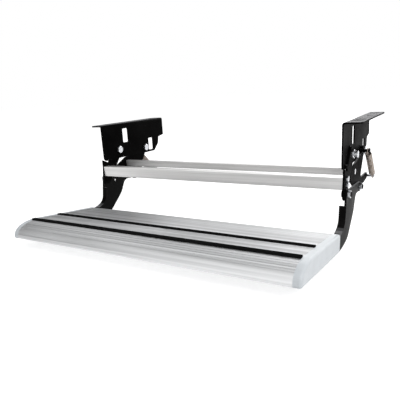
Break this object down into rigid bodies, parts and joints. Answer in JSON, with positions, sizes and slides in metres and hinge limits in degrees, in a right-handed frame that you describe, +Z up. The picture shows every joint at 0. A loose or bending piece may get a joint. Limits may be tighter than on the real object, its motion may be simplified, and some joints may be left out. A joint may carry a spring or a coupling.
{
  "type": "caravan pull-out step",
  "caption": "Swing-out entrance step: a ribbed aluminium tread on plate arms, carried under a vehicle floor by sprung parallel links on flanged brackets.",
  "frame": {"origin": "in the plane of the mounting flanges' tops, at the middle of the four main slots", "axes": "+X to the right seen from the front, +Y back under the floor, +Z up"},
  "size_m": [0.643, 0.5317, 0.2246],
  "materials": {
    "black_coat": "satin black powder coat",
    "zinc": "bright zinc plate",
    "bright_bar": "bright drawn metal",
    "tread_aluminium": "ribbed, satin anodised",
    "cap_plastic": "moulded, fine matt",
    "grip_rubber": "matt black",
    "spring_steel": "oiled spring wire"
  },
  "bodies": {
    "frame": {"left_bracket": "black_coat", "right_bracket": "black_coat", "front_pivot_bolts": "zinc", "rear_pivot_bolts": "zinc", "front_pivot_nuts": "zinc", "rear_pivot_nuts": "zinc", "stop_pins": "zinc", "spring_anchor_studs": "zinc"},
    "springs": {"left_spring": "spring_steel", "right_spring": "spring_steel"},
    "front_links": {"left_front_link": "black_coat", "right_front_link": "black_coat", "front_crossbar": "bright_bar", "front_bar_bolts": "zinc"},
    "rear_levers": {"left_rear_lever": "black_coat", "right_rear_lever": "black_coat", "rear_crossbar": "bright_bar", "rear_bar_screws": "zinc", "lever_spring_studs": "zinc"},
    "step": {"left_step_arm": "black_coat", "right_step_arm": "black_coat", "lower_front_pins": "zinc", "lower_front_nuts": "zinc", "lower_rear_pins": "zinc", "lower_rear_nuts": "zinc", "tread": "tread_aluminium", "front_grip_strip": "grip_rubber", "rear_grip_strip": "grip_rubber", "left_tread_plate": "zinc", "right_tread_plate": "zinc", "tread_plate_screws": "zinc", "arm_foot_screws": "zinc", "left_end_cap": "cap_plastic", "right_end_cap": "cap_plastic"}
  },
  "joints": [
    {"name": "link_swing", "type": "hinge", "parent": "frame", "child": "front_links", "pos_m": [0, -0.0715, -0.065], "axis": [1, 0, 0], "range_deg": [0, 90], "stiffness_Nm_per_rad": 2, "springref_deg": -137.51},
    {"name": "lever_swing", "type": "hinge", "parent": "frame", "child": "rear_levers", "pos_m": [0, 0.0375, -0.074], "axis": [1, 0, 0], "range_deg": [0, 90]},
    {"name": "spring_swing", "type": "hinge", "parent": "frame", "child": "springs", "pos_m": [0, 0.01827, -0.0714], "axis": [1, 0, 0], "range_deg": [0, 73.2], "deforming": ["left_spring", "right_spring"]},
    {"name": "step_level", "type": "hinge", "parent": "front_links", "child": "step", "pos_m": [0, -0.1215, -0.132], "axis": [1, 0, 0], "range_deg": [-90, 0]}
  ],
  "couplings": [
    {"joint": "lever_swing", "follows": "link_swing", "ratio": 1},
    {"joint": "step_level", "follows": "link_swing", "ratio": -1},
    {"joint": "spring_swing", "follows": "link_swing", "ratio": 0.81338}
  ]
}
